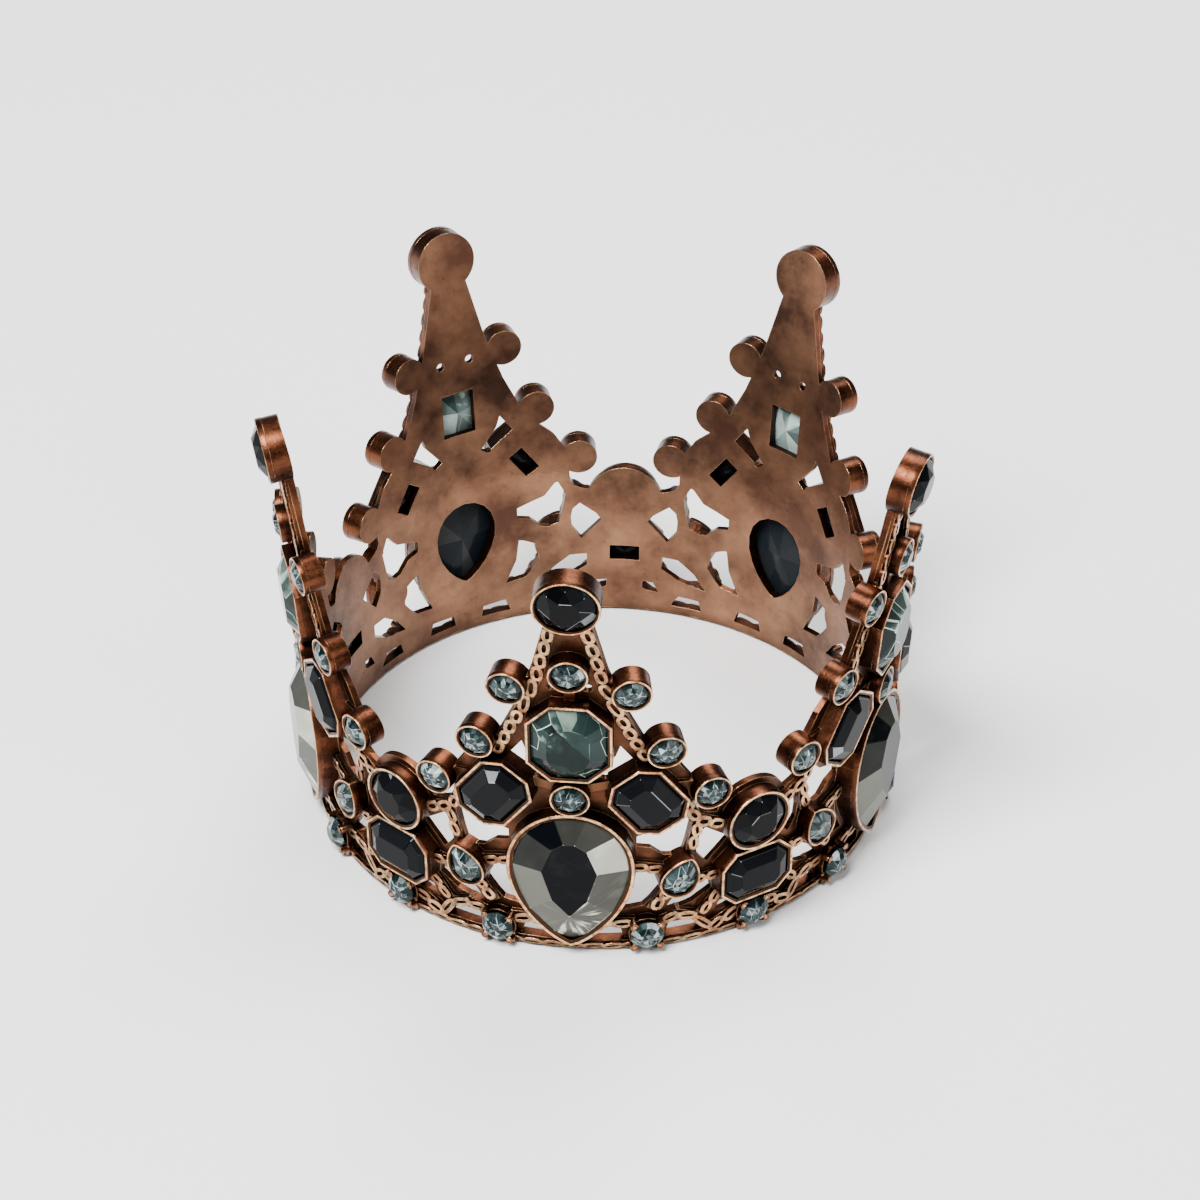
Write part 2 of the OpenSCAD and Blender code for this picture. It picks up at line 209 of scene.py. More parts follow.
VALLEY_SEAT = Seat(Kind.VALLEY, HALF_PANEL, 16.75)
CROSS_SEAT = Seat(Kind.LONG, HALF_PANEL, 8.95, 90)
LONG_SEAT = Seat(Kind.LONG, 8.65, 23.3, 36)
PAIRED_SEATS = (
    Seat(Kind.SMALL, 6.6, 39.8),
    Seat(Kind.SMALL, 10.5, 30.7),
    Seat(Kind.SMALL, 15.95, 23.2),
    LONG_SEAT,
    Seat(Kind.DROP, 12.6, 11.1, -24),
    Seat(Kind.PRONG, 8.75, 2.75),
)
SEATS = (
    TOP_SEAT,
    Seat(Kind.SMALL, 0, 42.6),
    OCTAGON_SEAT,
    Seat(Kind.SMALL, 0, 23.8),
    PEAR_SEAT,
    VALLEY_SEAT,
    CROSS_SEAT,
    Seat(Kind.PRONG, HALF_PANEL, 2.75),
    *(seat.mirrored(side) for seat in PAIRED_SEATS for side in SIDES),
)
# The chained bars on one side of a panel: two ends, each beside the middle and upwards, and the width.
SIDE_BARS = (
    (1.35, 50.8, 3.65, 40.7, 1.5),
    (3.65, 40.7, 5.40, 35.7, 1.5),
    (5.40, 35.7, 8.60, 28.8, 1.5),
    (12.9, 21.8, 14.6, 18.6, 1.5),
    (14.6, 18.6, 18.0, 16.9, 1.6),
    (14.8, 18.0, 14.1, 14.2, 1.3),
    (7.00, 12.7, 10.6, 11.8, 1.4),
    (11.6, 8.80, 9.60, 6.00, 1.5),
    (2.60, 4.30, 7.00, 4.10, 1.4),
    (10.6, 4.10, 12.6, 4.50, 1.3),
    (12.6, 4.50, 14.8, 3.80, 1.3),
    (14.8, 3.80, 16.5, 1.50, 1.3),
    (14.3, 9.30, 17.6, 9.60, 1.3),
    (15.5, 4.10, 17.7, 6.90, 1.3),
    (16.4, 1.50, 20.3, 3.30, 1.5),
)


# ---- The workbench ----


class Part(Enum):
    """What can be picked on a piece that is open for editing."""

    EDGES = "EDGE"
    FACES = "FACE"


class Bench:
    """The few moves that every piece is modelled with, as by hand."""

    @staticmethod
    def take(*pieces: Piece) -> None:
        """Selects some pieces alone and makes the first one active.

        Args:
            pieces: what the next operator acts on.
        """
        bpy.ops.object.select_all(action="DESELECT")
        for piece in pieces:
            piece.select_set(True)
        bpy.context.view_layer.objects.active = pieces[0]

    @staticmethod
    @contextmanager
    def editing(piece: Piece) -> Iterator[None]:
        """Opens a piece for editing with all of it selected, and closes it afterwards.

        Args:
            piece: the piece.
        """
        Bench.take(piece)
        bpy.ops.object.mode_set(mode="EDIT")
        bpy.ops.mesh.select_all(action="SELECT")
        yield
        bpy.ops.object.mode_set(mode="OBJECT")

    @staticmethod
    def pick(piece: Piece, kind: Part, test: Callable[[bmesh.types.BMEdge | bmesh.types.BMFace], bool]) -> None:
        """Selects the edges or the faces that pass a test, and nothing else.

        Args:
            piece: the piece, open for editing.
            kind: edges or faces.
            test: says of each whether it is picked.
        """
        bpy.ops.mesh.select_mode(type=kind.value)
        bpy.ops.mesh.select_all(action="DESELECT")
        mesh = bmesh.from_edit_mesh(piece.data)
        for part in [part for part in (mesh.edges if kind is Part.EDGES else mesh.faces) if test(part)]:
            part.select_set(True)
        bmesh.update_edit_mesh(piece.data)

    @staticmethod
    def cleaned(piece: Piece, least: float) -> None:
        """Closes up short edges, in an order that hangs on where they lie and so is the same each run.

        Args:
            piece: the piece, open for editing.
            least: the shortest edge that stays.
        """
        mesh = bmesh.from_edit_mesh(piece.data)
        slant = Vector((1.0, 2.618, 5.437))
        mesh.verts.sort(key=lambda v: v.co.dot(slant))
        mesh.edges.sort(key=lambda e: (e.verts[0].co + e.verts[1].co).dot(slant))
        mesh.faces.sort(key=lambda f: f.calc_center_median().dot(slant))
        for parts in (mesh.verts, mesh.edges, mesh.faces):
            parts.index_update()
        bmesh.update_edit_mesh(piece.data)
        bpy.ops.mesh.select_all(action="SELECT")
        bpy.ops.mesh.remove_doubles(threshold=least)
        bpy.ops.mesh.dissolve_degenerate(threshold=least)

    @staticmethod
    def plate(name: str, points: Sequence[Vector], low: float) -> Piece:
        """A flat face with an outline, from a circle whose corners are moved onto it.

        Args:
            name: its name.
            points: the outline.
            low: its height.

        Returns:
            The new piece.
        """
        bpy.ops.mesh.primitive_circle_add(vertices=len(points), radius=1.0, fill_type="NGON", location=(0, 0, 0))
        piece = bpy.context.object
        piece.name = name
        corners = sorted(piece.data.vertices, key=lambda v: angle_of(v.co))
        for corner, point in zip(corners, sorted(points, key=angle_of)):
            corner.co = (point.x, point.y, low)
        return piece

    @staticmethod
    def raised(by: float) -> None:
        """Extrudes what is selected upwards."""
        bpy.ops.mesh.extrude_region_move(TRANSFORM_OT_translate={"value": (0.0, 0.0, by)})

    @staticmethod
    def ground_off(point: Vector, normal: Vector) -> None:
        """Cuts away what lies in front of a plane and closes the cut, as a grinding wheel does."""
        bpy.ops.mesh.select_all(action="SELECT")
        bpy.ops.mesh.bisect(
            plane_co=point, plane_no=normal.normalized(), use_fill=True, clear_outer=True, threshold=1e-5
        )

    @staticmethod
    def copied(master: Piece, name: str, place: Matrix) -> Piece:
        """A copy of a piece with a mesh of its own, carried to its place.

        Args:
            master: the piece.
            name: the copy's name.
            place: moves its mesh.

        Returns:
            The copy, with its object at the origin.
        """
        mesh = master.data.copy()
        mesh.transform(place)
        piece = bpy.data.objects.new(name, mesh)
        bpy.context.scene.collection.objects.link(piece)
        return piece

    @staticmethod
    def joined(parts: Sequence[Piece], name: str) -> Piece:
        """Joins parts into one piece.

        Args:
            parts: one part or more.
            name: name of the piece.

        Returns:
            The piece.
        """
        Bench.take(*parts)
        if len(parts) > 1:
            bpy.ops.object.join()
        parts[0].name = name
        return parts[0]

    @staticmethod
    def marked_wear_and_shade(piece: Piece, lightness: Callable[[Face], float]) -> Piece:
        """Notes on each face how far handling has polished it bright, and how dark painted shade makes it.

        Args:
            piece: the piece.
            lightness: says of a face how bright it is, up to 1, and, where it is painted shade, how dark, down to -1.

        Returns:
            The same piece.
        """
        marks = piece.data.attributes.new("wear_and_shade", "FLOAT", "FACE")
        for face in piece.data.polygons:
            marks.data[face.index].value = lightness(face)
        return piece

    @staticmethod
    def put_away(piece: Piece) -> None:
        """Removes a workbench piece."""
        bpy.data.objects.remove(piece, do_unlink=True)


# ---- Finishes ----


class Nodes:
    """A small hand for wiring up one material's nodes."""

    def __init__(self, name: str) -> None:
        """Starts a material with its principled shader.

        Args:
            name: name of the material.
        """
        self.material = bpy.data.materials.new(name)
        self.material.use_nodes = True
        self.tree = self.material.node_tree
        self.shader = self.tree.nodes["Principled BSDF"]

    def feed(self, node: bpy.types.Node, inputs: Mapping[str | int, object]) -> None:
        """Links a socket, or sets a plain value, on each of some inputs.

        Args:
            node: the node that they belong to.
            inputs: sockets or values by the inputs' names or numbers.
        """
        for key, source in inputs.items():
            if isinstance(source, Socket):
                self.tree.links.new(source, node.inputs[key])
            else:
                node.inputs[key].default_value = source

    def add(self, kind: str, inputs: Mapping[str | int, object] | None = None, **settings: object) -> bpy.types.Node:
        """A new node.

        Args:
            kind: its type.
            inputs: sockets or values for some of its inputs.
            settings: values of its own settings.

        Returns:
            The node.
        """
        node = self.tree.nodes.new(kind)
        for key, value in settings.items():
            setattr(node, key, value)
        self.feed(node, inputs or {})
        return node

    def calc(self, kind: str, *values: object) -> Socket:
        """The result of a math operation on one to three sockets or numbers."""
        return self.add("ShaderNodeMath", dict(enumerate(values)), operation=kind).outputs[0]

    def times(self, first: object, second: object) -> Socket:
        """The product of two sockets or numbers."""
        return self.calc("MULTIPLY", first, second)

    def span(self, x: Socket, y: Socket) -> Socket:
        """The length of a flat way with two parts."""
        return self.calc("SQRT", self.calc("MULTIPLY_ADD", x, x, self.times(y, y)))

    def spread(self, value: object, low: float, high: float, to_low: float = 0.0, to_high: float = 1.0) -> Socket:
        """A value carried from one range to another and held inside it."""
        ends = dict(enumerate((value, low, high, to_low, to_high)))
        return self.add("ShaderNodeMapRange", ends, clamp=True).outputs[0]

    def blend(self, share: object, first: object, second: object) -> Socket:
        """Two colours mixed by a share, from 0, all first, to 1, all second."""
        return self.add("ShaderNodeMix", {0: share, 6: first, 7: second}, data_type="RGBA").outputs[2]

    def parts(self, vector: Socket) -> tuple[Socket, Socket, Socket]:
        """The three parts of a vector."""
        return tuple(self.add("ShaderNodeSeparateXYZ", {0: vector}).outputs)

    def channels(self, colour: Socket) -> tuple[Socket, Socket, Socket]:
        """The three channels of a colour."""
        return tuple(self.add("ShaderNodeSeparateColor", {0: colour}).outputs)

    def vector(self, x: object, y: object, z: object = 0.0) -> Socket:
        """A vector from its three parts."""
        return self.add("ShaderNodeCombineXYZ", {0: x, 1: y, 2: z}).outputs[0]

    def noise(self, scale: float, detail: float = 3.0, rough: float = 0.55) -> Socket:
        """Noise on the piece's own coordinates, with its scale in features a metre."""
        place = self.add("ShaderNodeTexCoord").outputs["Object"]
        inputs = {"Vector": place, "Scale": scale, "Detail": detail, "Roughness": rough}
        return self.add("ShaderNodeTexNoise", inputs).outputs["Fac"]


@dataclass(frozen=True)
class Mottle:
    """Patches on the metal: features a metre, fineness, where the noise sets in, and their strength."""

    scale: float
    detail: float
    rough: float
    low: float
    high: float
    strength: float
    least: float = 0.0

    def field(self, n: Nodes) -> Socket:
        """The patches at full strength."""
        return n.spread(n.noise(self.scale, self.detail, self.rough), self.low, self.high, self.least)

    def made(self, n: Nodes) -> Socket:
        """The patches at their own strength."""
        return n.times(self.field(n), self.strength)


@dataclass(frozen=True)
class CopperFinish:
    """Antique copper plating: bright where handling has polished it, red-brown on the flats, dark in the recesses
    with patina and painted shade.
    """

    name: str = "antique_copper_painted_shade"
    polished: Colour = (0.86, 0.44, 0.22, 1.0)
    golden: Colour = (0.94, 0.60, 0.32, 1.0)
    brown: Colour = (0.120, 0.040, 0.018, 1.0)
    deep: Colour = (0.024, 0.008, 0.005, 1.0)
    # The dark colour of the patina and of the painted shade in recesses, in links' hollows and on cup edges' drops to
    # their stones.
    recess: Colour = (0.010, 0.004, 0.003, 1.0)
    inside: Colour = (0.112, 0.051, 0.031, 1.0)
    warm: Colour = (0.56, 0.29, 0.16, 1.0)
    stain: Colour = (0.030, 0.016, 0.012, 1.0)
    patch: Mottle = Mottle(320.0, 4.0, 0.55, 0.40, 0.60, 0.8)
    cloud: Mottle = Mottle(70.0, 3.0, 0.55, 0.38, 0.62, 0.80)
    dapple: Mottle = Mottle(110.0, 4.0, 0.62, 0.36, 0.74, 0.48)
    speck: Mottle = Mottle(900.0, 3.0, 0.6, 0.62, 0.74, 0.35)
    nick: Mottle = Mottle(1100.0, 3.0, 0.6, 0.38, 0.58, 0.92, 0.22)
    grain_scale: float = 3600.0
    edge_width: float = 0.00010
    edge_outside: float = 0.60
    edge_inside: float = 0.38
    front_rub: float = 0.08
    recess_depth: float = 0.0022
    recess_strength: float = 0.90
    bump_height: float = 0.00006

    def made(self) -> bpy.types.Material:
        """Builds the material.

        Returns:
            The finished material.
        """
        n = Nodes(self.name)
        soft = n.add("ShaderNodeBevel", {"Radius": self.edge_width}, samples=4).outputs[0]
        outward, lift = self.outward_and_lift(n)
        inner = n.spread(outward, -0.008, -0.026)
        front = n.times(n.spread(outward, 0.012, 0.030), n.spread(lift, -0.0013, -0.0007))
        # Recesses darken both as patina and as painted shade: ambient occlusion finds them, and negative
        # wear_and_shade marks paint shade.
        hidden = n.add("ShaderNodeAmbientOcclusion", {"Distance": self.recess_depth}, samples=6).outputs["AO"]
        wear_and_shade = n.add("ShaderNodeAttribute", attribute_name="wear_and_shade").outputs["Fac"]
        recess = n.calc("MAXIMUM", n.spread(hidden, 0.95, 0.30), n.spread(wear_and_shade, 0.0, -1.0))

        normal = n.add("ShaderNodeNewGeometry").outputs["Normal"]
        turned = n.add("ShaderNodeVectorMath", {0: normal, 1: soft}, operation="DOT_PRODUCT").outputs["Value"]
        edge = n.spread(inner, 0.0, 1.0, self.edge_outside, self.edge_inside)
        edge = n.times(n.spread(turned, 0.999, 0.93), edge)
        lightness = n.times(n.calc("MAXIMUM", wear_and_shade, 0.0), self.nick.made(n))
        lightness = n.calc("MAXIMUM", lightness, edge)
        lightness = n.calc("MAXIMUM", lightness, n.times(front, self.front_rub))
        patch, grain = self.patch.field(n), n.noise(self.grain_scale)
        outer = n.blend(n.times(patch, self.patch.strength), self.brown, self.deep)
        behind = n.blend(self.cloud.made(n), self.inside, self.stain)
        behind = n.blend(self.dapple.made(n), behind, self.warm)
        behind = n.blend(self.speck.made(n), behind, self.stain)
        colour = n.blend(inner, outer, behind)
        colour = n.blend(lightness, colour, n.blend(patch, self.polished, self.golden))
        colour = n.blend(n.times(recess, self.recess_strength), colour, self.recess)

        rough = n.spread(grain, 0.3, 0.7, 0.25, 0.40)
        rough = n.calc("ADD", rough, n.times(inner, 0.05))
        rough = n.calc("ADD", rough, n.times(recess, 0.12))
        rough = n.calc("SUBTRACT", rough, n.times(lightness, 0.07))
        height = n.calc("ADD", grain, n.times(patch, 0.9))
        bump = {"Strength": 0.28, "Distance": self.bump_height, "Height": height, "Normal": soft}
        normal = n.add("ShaderNodeBump", bump).outputs[0]
        n.feed(n.shader, {"Base Color": colour, "Metallic": 1.0, "Roughness": rough, "Normal": normal})
        return n.material

    def outward_and_lift(self, n: Nodes) -> tuple[Socket, Socket]:
        """How far the surface faces away from the axis, and its distance in front of the wall.

        Args:
            n: the material's nodes.

        Returns:
            Two sockets, both in metres.
        """
        place = n.add("ShaderNodeTexCoord")
        at, facing = n.parts(place.outputs["Object"]), n.parts(place.outputs["Normal"])
        outward = n.calc("MULTIPLY_ADD", at[0], facing[0], n.times(at[1], facing[1]))
        share = n.calc("DIVIDE", at[2], WALL.top_height * MM)
        wall = n.calc("MULTIPLY_ADD", n.times(share, share), WALL.flare * MM, WALL.rim_radius * MM)
        return outward, n.calc("SUBTRACT", n.span(at[0], at[1]), wall)


@dataclass(frozen=True)
class StoneFinish:
    """A cut stone whose facets each have their own painted tone, a painted reflection of the light that its foiled
    back throws.
    """

    name: str
    deep: Colour
    middle: Colour
    flash: Colour
    back: Colour
    metallic: float = 0.0
    roughness: float = 0.08
    gloss: float = 0.25
    rays: int = 8
    ray_rings: float = 5.5
    ray_strength: float = 0.0
    cell_scale: float = 3.6
    cell_slope: float = 2.6
    cell_strength: float = 0.0
    glow_aside: float = -0.17
    glow_up: float = 0.15
    scratch_glints: float = 0.0
    fan_low: float = 0.222
    haze: float = 0.05

    def made(self) -> bpy.types.Material:
        """Builds the material.

        Returns:
            The finished material.
        """
        n = Nodes(self.name)
        facet = n.add("ShaderNodeAttribute", attribute_name="facet").outputs
        tone, seed, back = n.channels(facet["Color"])
        if self.ray_strength > 0:
            tone = n.calc("ADD", tone, self.ray_light(n, seed))
        if self.cell_strength > 0:
            tone = n.calc("ADD", tone, self.cell_light(n, seed))
        if self.scratch_glints > 0:
            tone = n.calc("ADD", tone, n.times(self.scratch_light(n, seed), facet["Alpha"]))
        tone = n.calc("ADD", tone, n.spread(n.noise(420.0), 0.35, 0.7, -self.haze, self.haze))
        # The tone is a painted reflection: it blends the colour from deep through middle to a painted flash.
        colour = n.blend(n.spread(tone, 0.0, 0.5), self.deep, self.middle)
        colour = n.blend(n.spread(tone, 0.5, 1.0), colour, self.flash)
        n.feed(n.shader, {
            "Base Color": n.blend(back, colour, self.back),
            "Metallic": n.spread(back, 0.0, 1.0, self.metallic, 0.0),
            "Roughness": self.roughness,
            "IOR": 1.5,
            "Specular IOR Level": self.gloss,
        })
        return n.material

    def flat_place(self, n: Nodes) -> tuple[Socket, Socket]:
        """Where a point lies on the stone's face, from its middle."""
        x, y, _ = n.parts(n.add("ShaderNodeUVMap", uv_map="face_plane").outputs[0])
        return n.calc("SUBTRACT", x, 0.5), n.calc("SUBTRACT", y, 0.5)

    def ray_light(self, n: Nodes, seed: Socket) -> Socket:
        """Painted bright and dark wedges: the reflections of the facets at the stone's back, seen through its front.

        Args:
            n: the material's nodes.
            seed: the stone's own number.

        Returns:
            What they add to the tone.
        """
        x, y = self.flat_place(n)
        angle = n.calc("ADD", n.calc("ARCTAN2", y, x), n.times(seed, 6.0))
        wedge = n.calc("FLOOR", n.times(angle, self.rays / math.pi))
        ring = n.calc("FLOOR", n.times(n.span(x, y), self.ray_rings))
        pick = n.vector(n.calc("MULTIPLY_ADD", ring, 7.0, wedge), n.times(seed, 37.0))
        chance = n.add("ShaderNodeTexWhiteNoise", {"Vector": pick}, noise_dimensions="2D").outputs["Value"]
        return n.times(n.spread(chance, 0.0, 1.0, -0.62, 0.55), self.ray_strength)

    def cell_light(self, n: Nodes, seed: Socket) -> Socket:
        """Painted patches of light from inside a clear stone, with thin painted glint lines and one soft painted
        glow.

        Args:
            n: the material's nodes.
            seed: the stone's own number.

        Returns:
            What they add to the tone.
        """
        x, y = self.flat_place(n)
        at = n.vector(x, n.calc("MULTIPLY_ADD", x, 0.5, y), n.times(seed, 5.0))
        cells = {"Scale": self.cell_scale, "Vector": at}
        cell = n.add("ShaderNodeTexVoronoi", cells).outputs
        rim = n.add("ShaderNodeTexVoronoi", cells, feature="DISTANCE_TO_EDGE").outputs["Distance"]
        shade = n.channels(cell["Color"])
        off = n.add("ShaderNodeVectorMath", {0: at, 1: cell["Position"]}, operation="SUBTRACT").outputs[0]
        across, up, _ = n.parts(off)
        sideways = n.times(across, n.calc("SUBTRACT", shade[1], 0.5))
        slope = n.calc("MULTIPLY_ADD", up, n.calc("SUBTRACT", shade[2], 0.5), sideways)
        patches = n.calc("MULTIPLY_ADD", slope, self.cell_slope, n.spread(shade[0], 0.45, 1.0, -0.12, 0.36))
        lines = n.times(n.spread(rim, 0.034, 0.014), n.spread(shade[1], 0.60, 0.75))
        reach = n.span(n.calc("ADD", x, -self.glow_aside), n.calc("SUBTRACT", y, self.glow_up))
        cloudy = n.spread(n.noise(1500.0, 2.0), 0.35, 0.65, 0.3, 1.0)
        lit = n.calc("ADD", patches, n.times(n.spread(reach, 0.24, 0.06, 0.0, 0.55), cloudy))
        return n.times(n.calc("MAXIMUM", lit, lines), self.cell_strength)

    def scratch_light(self, n: Nodes, seed: Socket) -> Socket:
        """Painted highlights along abraded streaks that fan out from the table's lower end.

        Args:
            n: the material's nodes.
            seed: the stone's own number.

        Returns:
            What they add to the tone.
        """
        x, y = self.flat_place(n)
        y = n.calc("ADD", y, self.fan_low)
        reach = n.span(x, y)
        at = n.vector(n.times(n.calc("ARCTAN2", y, x), 2.3), n.times(reach, 2.2), n.times(seed, 9.0))
        inputs = {"Scale": 2.0, "Detail": 3.0, "Roughness": 0.62, "Vector": at}
        streak = n.add("ShaderNodeTexNoise", inputs).outputs["Fac"]
        return n.times(n.spread(streak, 0.50, 0.68), n.times(n.spread(reach, 0.02, 0.16), self.scratch_glints))


# ---- The casting ----


@dataclass
class CastPiece:
    """What the pieces of the casting have in common."""

    copper: bpy.types.Material

    def finish(self, piece: Piece, degrees: float) -> None:
        """Gives a piece of the casting its finish and its body.

        Args:
            piece: the piece in its place.
            degrees: angle up to which its shading is smooth.
        """
        piece.data.materials.clear()
        piece.data.materials.append(self.copper)
        Bench.take(piece)
        bpy.ops.object.shade_smooth_by_angle(angle=math.radians(degrees))
        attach(piece, "root")
        log.info("%s: %d faces", piece.name, len(piece.data.polygons))

    def repeat(self, first: Piece, degrees: float) -> None:
        """Copies a panel's piece round the crown and finishes each copy, with the panel's number in its name.

        Args:
            first: the piece on the first panel.
            degrees: angle up to which their shading is smooth.
        """
        for panel in range(PANELS):
            turn = Matrix.Rotation(panel * PANEL_TURN, 4, "Z")
            self.finish(Bench.copied(first, f"{first.name}_{panel + 1}", turn), degrees)
        Bench.put_away(first)

    def seated(self, masters: Mapping[Kind, Piece], name: str, degrees: float) -> None:
        """Copies masters to the seats of their kinds, as one piece for each panel.

        Args:
            masters: workbench pieces, which are used up.
            name: what the pieces are called.
            degrees: angle up to which their shading is smooth.
        """
        parts = [Bench.copied(masters[seat.kind], "part", seat.place()) for seat in SEATS if seat.kind in masters]
        for master in masters.values():
            Bench.put_away(master)
        self.repeat(Bench.joined(parts, name), degrees)


@dataclass
class CastFrame(CastPiece):
    """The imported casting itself."""

    def build(self) -> None:
        """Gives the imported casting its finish."""
        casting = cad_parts["crown_frame"]
        casting.data.materials.clear()
        casting.data.materials.append(self.copper)
        log.info("crown_frame: worn copper")


def faces_out(face: Face) -> bool:
    """Whether a side face looks away from the workbench's middle."""
    return face.normal.x * face.center.x + face.normal.y * face.center.y > 0


@dataclass
class CupEdges(CastPiece):
    """The thin bright edge along the top of every cup's wall, with painted shade where it drops to the stone."""

    out: float = 0.03
    low: float = 0.12
    top: float = 0.84
    seat_top: float = 0.71
    bright_share: float = 0.45
    chamfer: float = 0.05
    chamfer_tall: float = 0.07
    overlap: float = 0.02
    uneven: float = 0.022

    def ring(self, cup: Cup) -> Piece:
        """The edge of one kind of cup.

        Args:
            cup: the cup that it crowns.

        Returns:
            The workbench piece, closed all round.
        """
        bright = cup.wall * self.bright_share
        wide = cup.wall + self.overlap + self.out
        edge = Bench.plate("cup_edge", cup.outline.inset(-self.out).points(cup.steps), self.low)
        with Bench.editing(edge):
            Bench.raised(self.top - self.chamfer_tall - self.low)
            Bench.pick(edge, Part.FACES, lambda f: f.normal.z > 0.9)
            slope = (wide - self.chamfer - bright, self.seat_top - self.top)
            for thickness, depth in ((self.chamfer, self.chamfer_tall), (bright, 0.0), slope):
                bpy.ops.mesh.inset(thickness=thickness, depth=depth, use_even_offset=True)
            Bench.pick(edge, Part.FACES, lambda f: f.normal.z < -0.9)
            bpy.ops.mesh.inset(thickness=wide, use_even_offset=True)
            Bench.pick(edge, Part.FACES, lambda f: abs(f.normal.z) > 0.9 and len(f.verts) > 4)
            bpy.ops.mesh.bridge_edge_loops()
            Bench.pick(edge, Part.FACES, lambda f: f.calc_center_median().z > self.seat_top)
            bpy.ops.transform.vertex_random(offset=self.uneven, seed=3)
            bpy.ops.mesh.select_all(action="SELECT")
            bpy.ops.mesh.normals_make_consistent(inside=False)
        return Bench.marked_wear_and_shade(edge, self.lightness)

    def lightness(self, face: Face) -> float:
        """The top is bright, its outer side is plain and its drop to the stone is painted shade."""
        side = 0.6 if face.normal.z > 0.3 else 0.0
        # Faces that drop inwards to the stone get painted shade.
        return 1.0 if face.normal.z > 0.97 and face.center.z > self.top - 0.03 else side if faces_out(face) else -0.85

    def build(self) -> None:
        """Sets an edge on every cup, one piece for each panel."""
        rings = {kind: self.ring(cup) for kind, cup in CUPS.items() if kind is not Kind.PRONG}
        self.seated(rings, "cup_edges", 40)


@dataclass
class ChainWork(CastPiece):
    """The chains of small pierced links along the bars and round the rim."""

    pitch: float = 2.15
    rise: float = 0.30
    sunk: float = 0.12
    hollow: float = 0.34
    slant: float = 9.0
    bar_overlap: float = 1.10
    bar_rail: float = 0.37
    rim_links: int = 92
    rim_overlap: float = 1.14
    rim_rail: float = 0.29
    rim_up: float = 0.82
    rim_tall: float = 1.05
    rim_face: float = 34.30
    rim_tilt: float = 12.0

    def link(self, length: float, width: float, rail: float) -> Piece:
        """One chain link: an oval with a hollow, dark with patina and painted shade, in its bright face.

        Args:
            length: size along the chain.
            width: size across it.
            rail: width of the face round the hollow.

        Returns:
            The link, with its foot a little sunk.
        """
        link = Bench.plate("link", Outline(Shape.LINK, length, width).points(14), -self.sunk)
        with Bench.editing(link):
            Bench.raised(self.sunk + self.rise)
            bpy.ops.mesh.inset(thickness=0.06, depth=0.05)
            bpy.ops.mesh.inset(thickness=rail)
            bpy.ops.transform.resize(value=(0.94, 0.90, 1.0))
            Bench.raised(-self.hollow)
        return Bench.marked_wear_and_shade(link, self.lightness)

    def lightness(self, face: Face) -> float:
        """A link's face is bright, its hollow and its bottom are dark with patina and painted shade, and its sides
        are plain.
        """
        # The hollow, its inner sides and the link's bottom get painted shade as well as patina.
        side = 0.0 if faces_out(face) and abs(face.normal.z) <= 0.9 else -0.9
        return 0.85 if face.center.z > self.rise and face.normal.z > 0.5 else side

    def laid(self, master: Piece, places: Iterator[Matrix], dice: random.Random, dullest: float) -> Piece:
        """Lays a chain of links, some less bright than others.

        Args:
            master: the link.
            places: where each link lies.
            dice: their chance.
            dullest: share of brightness that the dullest may keep.

        Returns:
            The chain.
        """
        links = []
        for place in places:
            links.append(Bench.copied(master, "part", place))
            share = dice.uniform(dullest, 1.0)
            for mark in links[-1].data.attributes["wear_and_shade"].data:
                if mark.value > 0:
                    mark.value *= share
        Bench.put_away(master)
        return Bench.joined(links, "part")

    def run(self, start: Vector, end: Vector, width: float) -> Piece:
        """A straight run of links along one bar of the first panel.

        Args:
            start: beside the panel's middle and upwards.
            end: the same, for the other end.
            width: the bar's width.

        Returns:
            The run.
        """
        way, middle = end - start, (start + end) / 2
        count = max(1, round(way.length / self.pitch))
        pitch = way.length / count
        bar = WALL.place(middle.x, middle.y, math.atan2(way.y, way.x))
        dice = random.Random(round(100 * (start.x + 3 * start.y)))

        def places() -> Iterator[Matrix]:
            """Where each link lies on the bar, a little uneven."""
            for i in range(count):
                along = (i + 0.5) * pitch - way.length / 2
                at = Matrix.Translation((along, dice.uniform(-0.05, 0.05), WALL.bar_face))
                turn = Matrix.Rotation(math.radians(self.slant + dice.uniform(-5, 5)), 4, "Z")
                sizes = (dice.uniform(0.94, 1.06), dice.uniform(0.92, 1.04), dice.uniform(0.9, 1.1), 1.0)
                yield bar @ at @ turn @ Matrix.Diagonal(sizes)

        return self.laid(self.link(pitch * self.bar_overlap, width, self.bar_rail), places(), dice, 0.45)

    def build(self) -> None:
        """Lays the chains along the bars, one piece for each panel, and the one round the rim."""
        parts = []
        for x0, y0, x1, y1, width in SIDE_BARS:
            parts += [self.run(Vector((side * x0, y0)), Vector((side * x1, y1)), width) for side in SIDES]
        self.repeat(Bench.joined(parts, "chains"), 35)
        pitch = 2 * math.pi * self.rim_face / self.rim_links
        dice = random.Random(92)

        def places() -> Iterator[Matrix]:
            """Where each link lies round the rim, a little uneven."""
            for i in range(self.rim_links):
                around = 2 * math.pi * (i + dice.uniform(-0.05, 0.05)) / self.rim_links
                up = self.rim_up + dice.uniform(-0.04, 0.04)
                turn = math.radians(dice.uniform(-1.0, 6.0))
                yield stood(around, self.rim_face, up, math.radians(self.rim_tilt), turn)

        link = self.link(pitch * self.rim_overlap, self.rim_tall, self.rim_rail)
        chain = self.laid(link, places(), dice, 0.5)
        chain.name = "rim_chain"
        self.finish(chain, 35)


